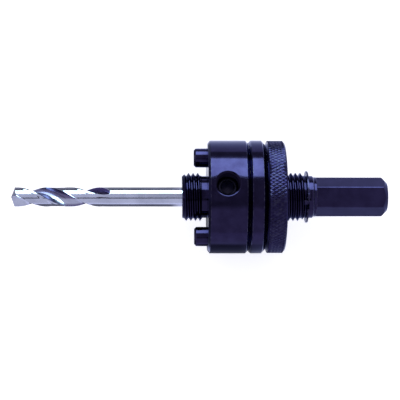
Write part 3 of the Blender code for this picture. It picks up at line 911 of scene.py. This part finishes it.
def drillSection(sizes, lift, relief):
    # Points once round the drill: margin and relieved land, then flute, twice.
    low, high = fluteEdge(sizes, 0, lift), fluteEdge(sizes, 1, lift)
    landStart = fluteFloor(sizes, high, lift)[1] - math.pi / 2
    landEnd = fluteFloor(sizes, low, lift)[1] + math.pi / 2
    margin = math.radians(sizes["marginAngle"])
    points = []
    for side in (0, math.pi):
        for step in range(sizes["marginSteps"]):
            points.append((sizes["radius"], side + landStart + margin * step / sizes["marginSteps"]))
        rest = sizes["landSteps"] - sizes["marginSteps"]
        for step in range(rest):
            t = step / rest
            lowered = relief * min(1, t * sizes["marginRamp"]) * min(1, (1 - t) * sizes["heelRamp"])
            lowered *= sizes["marginRelief"]
            angle = landStart + margin + (landEnd - landStart - margin) * t
            points.append((sizes["radius"] - lowered, side + angle))
        for step in range(sizes["fluteSteps"]):
            radius, angle = fluteFloor(sizes, low + (high - low) * step / sizes["fluteSteps"], lift)
            points.append((min(sizes["radius"], radius), side + math.pi / 2 + angle))
    return points


def makePilotDrill(sizes, shades):
    radius, tip = sizes["radius"], sizes["tip"]
    landAngle = math.radians(sizes["landAngle"])
    relief = math.tan(math.radians(sizes["lipRelief"]))
    pointDepth = radius / math.tan(math.radians(sizes["pointAngle"]) / 2)

    def pointPlace(r, angle):
        fromLip = (angle + landAngle / 2) % math.pi
        if fromLip > landAngle:
            fromLip = landAngle * (math.pi - fromLip) / (math.pi - landAngle)
        return tip + r * pointDepth / radius + r * fromLip * relief

    def row(points, places, lag=0.0):
        made = []
        for (r, angle), x in zip(points, places):
            turn = angle + math.radians(sizes["startAngle"]) + 2 * math.pi * (x - tip) / sizes["lead"] - lag
            made.append((x, r * math.cos(turn), r * math.sin(turn)))
        return made

    section = drillSection(sizes, 0, 1)
    rows, runs = [], []
    for share in sizes["pointShares"]:
        scaled = [(r * share, angle) for r, angle in section]
        rows.append(row(scaled, [pointPlace(*point) for point in scaled]))
        runs.append(0.0)
    first = tip + pointDepth + radius * landAngle * relief + sizes["pointGap"]
    last = tip + sizes["fluteLength"]
    for step in range(sizes["rows"] + 1):
        x = first + (last - first) * step / sizes["rows"]
        run = max(0, (x - (last - sizes["runOut"])) / sizes["runOut"])
        lift = (radius - sizes["web"] / 2) * run ** sizes["runOutPower"]
        points = drillSection(sizes, lift, 1 - run)
        rows.append(row(points, [x] * len(points), math.radians(sizes["lag"]) * run**2))
        runs.append(run)
    taper = 1 - sizes["shankChamfer"] / radius
    for x, share in ((sizes["end"] - sizes["shankChamfer"], 1.0), (sizes["end"], taper)):
        rows.append([(x, y * share, z * share) for _, y, z in rows[-1]])
        runs.append(0.0)
    form = bmesh.new()
    runOutShadeLayer = form.verts.layers.float.new("runOut")
    fluteLayer = form.verts.layers.float.new("flute")
    grid = [[form.verts.new(toPlace(*point)) for point in line] for line in rows]
    # Painted shade: the run-out and flute values darken the drill's colour; the flute value also makes it
    # rougher.
    for line, points, run in zip(grid, rows, runs):
        for index, (vert, (x, y, z)) in enumerate(zip(line, points)):
            sunk = radius - math.hypot(y, z) > sizes["marginRelief"] + shades["slack"]
            if sunk and run < 1:
                vert[runOutShadeLayer] = held((run - shades["runOutShadeFrom"]) / shades["runOutShadeFade"])
            share = (index % (len(line) // 2) - sizes["landSteps"]) / sizes["fluteSteps"]
            fromStrip = (abs(share - shades["strip"]) - shades["stripHalf"]) / shades["stripFade"]
            fromTip = (x - tip - shades["tipFrom"]) / shades["tipFade"]
            dull = held(fromStrip, shades["stripLevel"]) * held(fromTip, shades["tipLevel"])
            vert[fluteLayer] = dull if sunk else 0.0
    item = addObject("pilotDrill", skinned(form, "pilotDrill", grid), drillFinish)
    return finishPiece(item, "arbor", ["pilot_drill"], smooth=28)


makePilotDrill(drillSizes, drillShades)
print("pilot drill made")


# Floor, light and camera. Their edges are in metres on the floor and in parts of 1 on the sky.

# The front and rear shade entries place painted dark reflections on the floor, seen in the metal only.
floorSettings = {
    "reach": 3.0, "colour": (0.80, 0.80, 0.80), "glow": 0.73, "glowColour": (0.97, 0.975, 1.08),
    "frontShade": (-0.06, -0.048), "frontShadeEnd": (0.0, 0.02), "frontLevel": 0.2, "rightLevel": 0.85,
    "rightFrom": (0.015, 0.03), "gapStart": (-0.009, -0.006), "gapEnd": (-0.001, 0.001),
    "rearShade": (0.0, 0.02), "rearShadeEnd": (-0.008, 0.0), "rearLevel": 0.3,
}


def shownDirectly(tree):
    # 1 for what the camera sees itself, in a reflection or through glass, and 0 for light on other things.
    seen = tree.nodes.new("ShaderNodeLightPath")
    shown = mathNode(tree, "MAXIMUM", seen.outputs["Is Camera Ray"], seen.outputs["Is Glossy Ray"])
    return mathNode(tree, "MAXIMUM", shown, seen.outputs["Is Transmission Ray"])


def paintedReflectionShade(tree, settings):
    # Painted shade on the floor, seen in the metal only as painted dark reflections: in front, with a gap,
    # and behind on the left.
    x, y, _ = splitParts(tree, tree.nodes.new("ShaderNodeTexCoord").outputs["Object"])
    level = ramp(tree, x, settings["frontLevel"], settings["rightLevel"], *settings["rightFrom"])
    inFront = times(tree, rises(tree, y, *settings["frontShade"]), falls(tree, y, *settings["frontShadeEnd"]))
    besideGap = mathNode(
        tree, "MAXIMUM", falls(tree, x, *settings["gapStart"]), rises(tree, x, *settings["gapEnd"]))
    front = oneMinus(tree, times(tree, inFront, besideGap, oneMinus(tree, level)))
    onLeft = times(tree, falls(tree, x, *settings["rearShadeEnd"]), rises(tree, y, *settings["rearShade"]))
    shown = times(tree, front, ramp(tree, onLeft, 1.0, settings["rearLevel"]))
    glossy = tree.nodes.new("ShaderNodeLightPath").outputs["Is Glossy Ray"]
    return oneMinus(tree, times(tree, glossy, oneMinus(tree, shown)))


def makeFloor(settings):
    form = bmesh.new()
    corners = [form.verts.new((x * settings["reach"], y * settings["reach"], 0.0))
               for x, y in ((-1, -1), (1, -1), (1, 1), (-1, 1))]
    form.faces.new(corners)
    material, tree, shader = newMaterial("studioFloorPaper")
    reflectionShade = paintedReflectionShade(tree, settings)
    # Painted dark reflections: for glossy rays the floor's colour and glow are darkened by that shade.
    fill(tree, shader, {
        "Base Color": mixColour(tree, reflectionShade, (0.0, 0.0, 0.0), settings["colour"]), "Roughness": 1.0,
        "Specular IOR Level": 0.0, "Emission Color": (*settings["glowColour"], 1),
        "Emission Strength": times(tree, shownDirectly(tree), reflectionShade, settings["glow"])})
    addObject("studioFloor", meshFrom(form, "studioFloor"), material)


# A flag overhead darkens the tops of the collar, the plate and the nut, the low sky behind is dim, and a
# slit overhead draws the thin dark line along the drill.
skySettings = {
    "ambient": 0.62, "edge": 0.012, "flag": (0.008, 0.098), "flagLow": (0.77, 0.86), "flagLevel": 0.35,
    "behind": (0.2, 0.5), "low": (0.22, 0.34), "lowLeft": 0.1, "lowRight": 0.4,
    "slit": (-0.53, -0.378), "slitAbove": 0.5, "slitLevel": 0.0,
}


def makeWorld(settings):
    world = bpy.data.worlds.new("studioWorld")
    bpy.context.scene.world = world
    world.use_nodes = True
    tree = world.node_tree
    background = tree.nodes["Background"]
    x, y, z = splitParts(tree, tree.nodes.new("ShaderNodeTexCoord").outputs["Generated"])
    edge = settings["edge"]
    (flagStart, flagEnd), (slitStart, slitEnd) = settings["flag"], settings["slit"]
    entering, leaving = rises(tree, x, flagStart - edge, flagStart), falls(tree, x, flagEnd, flagEnd + edge)
    flag = times(tree, rises(tree, z, *settings["flagLow"]), times(tree, entering, leaving))
    low = times(tree, rises(tree, y, *settings["behind"]), falls(tree, z, *settings["low"]))
    lowLevel = ramp(tree, entering, settings["lowLeft"], settings["lowRight"])
    dimmed = times(tree, low, oneMinus(tree, lowLevel))
    slit = times(
        tree, rises(tree, y, slitStart - edge, slitStart), falls(tree, y, slitEnd, slitEnd + edge),
        oneMinus(tree, entering), mathNode(tree, "GREATER_THAN", z, settings["slitAbove"]))
    sky = times(tree, ramp(tree, flag, 1.0, settings["flagLevel"]), oneMinus(tree, dimmed),
                ramp(tree, slit, 1.0, settings["slitLevel"]))
    lit = times(tree, ramp(tree, shownDirectly(tree), settings["ambient"], 1.0), sky)
    toCamera = tree.nodes.new("ShaderNodeLightPath").outputs["Is Camera Ray"]
    strength = mathNode(tree, "MAXIMUM", lit, toCamera)
    fill(tree, background, {"Color": (1, 1, 1, 1), "Strength": strength})


lampSettings = {
    "width": 0.72, "height": 0.3455, "distance": 0.45, "elevation": 41.6, "colour": (0.80, 1.18, 0.99),
    "radiance": 8.3, "floorRadiance": 1.6,
}


def makeSoftbox(name, settings, radiance, forMetal):
    # One softbox is seen in the metal only, and a weaker one of the same size lights the floor only.
    light = bpy.data.lights.new(name, "AREA")
    light.shape = "RECTANGLE"
    light.size, light.size_y = settings["width"], settings["height"]
    light.energy = radiance * math.pi * light.size * light.size_y
    light.color = settings["colour"] if forMetal else (1, 1, 1)
    holder = addObject(name, light)
    elevation = math.radians(settings["elevation"])
    aim = Vector((0.0, 0.0, axisHeight))
    holder.location = aim + settings["distance"] * Vector((0, math.cos(elevation), math.sin(elevation)))
    holder.rotation_euler = (aim - holder.location).to_track_quat("-Z", "Y").to_euler()
    holder.visible_diffuse = not forMetal
    holder.visible_glossy = forMetal


cameraSettings = {
    "elevation": 76.4, "distance": 0.423, "frameWidth": 0.132, "place": -9.38,
    "shiftX": 0.07475, "shiftY": -0.007625, "sensor": 36, "clip": (0.01, 20),
}


def makeCamera(settings):
    camera = bpy.data.cameras.new("photoCamera")
    camera.sensor_width = settings["sensor"]
    camera.lens = settings["sensor"] * settings["distance"] / settings["frameWidth"]
    camera.shift_x, camera.shift_y = settings["shiftX"], settings["shiftY"]
    camera.clip_start, camera.clip_end = settings["clip"]
    holder = addObject("photoCamera", camera)
    elevation = math.radians(settings["elevation"])
    holder.location = (
        settings["place"] * mm,
        -math.cos(elevation) * settings["distance"],
        axisHeight + math.sin(elevation) * settings["distance"],
    )
    holder.rotation_euler = (math.radians(90 - settings["elevation"]), 0, 0)
    bpy.context.scene.camera = holder


makeFloor(floorSettings)
makeWorld(skySettings)
makeSoftbox("softbox", lampSettings, lampSettings["radiance"], True)
makeSoftbox("floorKey", lampSettings, lampSettings["floorRadiance"], False)
makeCamera(cameraSettings)
bpy.context.scene.view_settings.view_transform = "Standard"
print("floor, lights and camera ready")
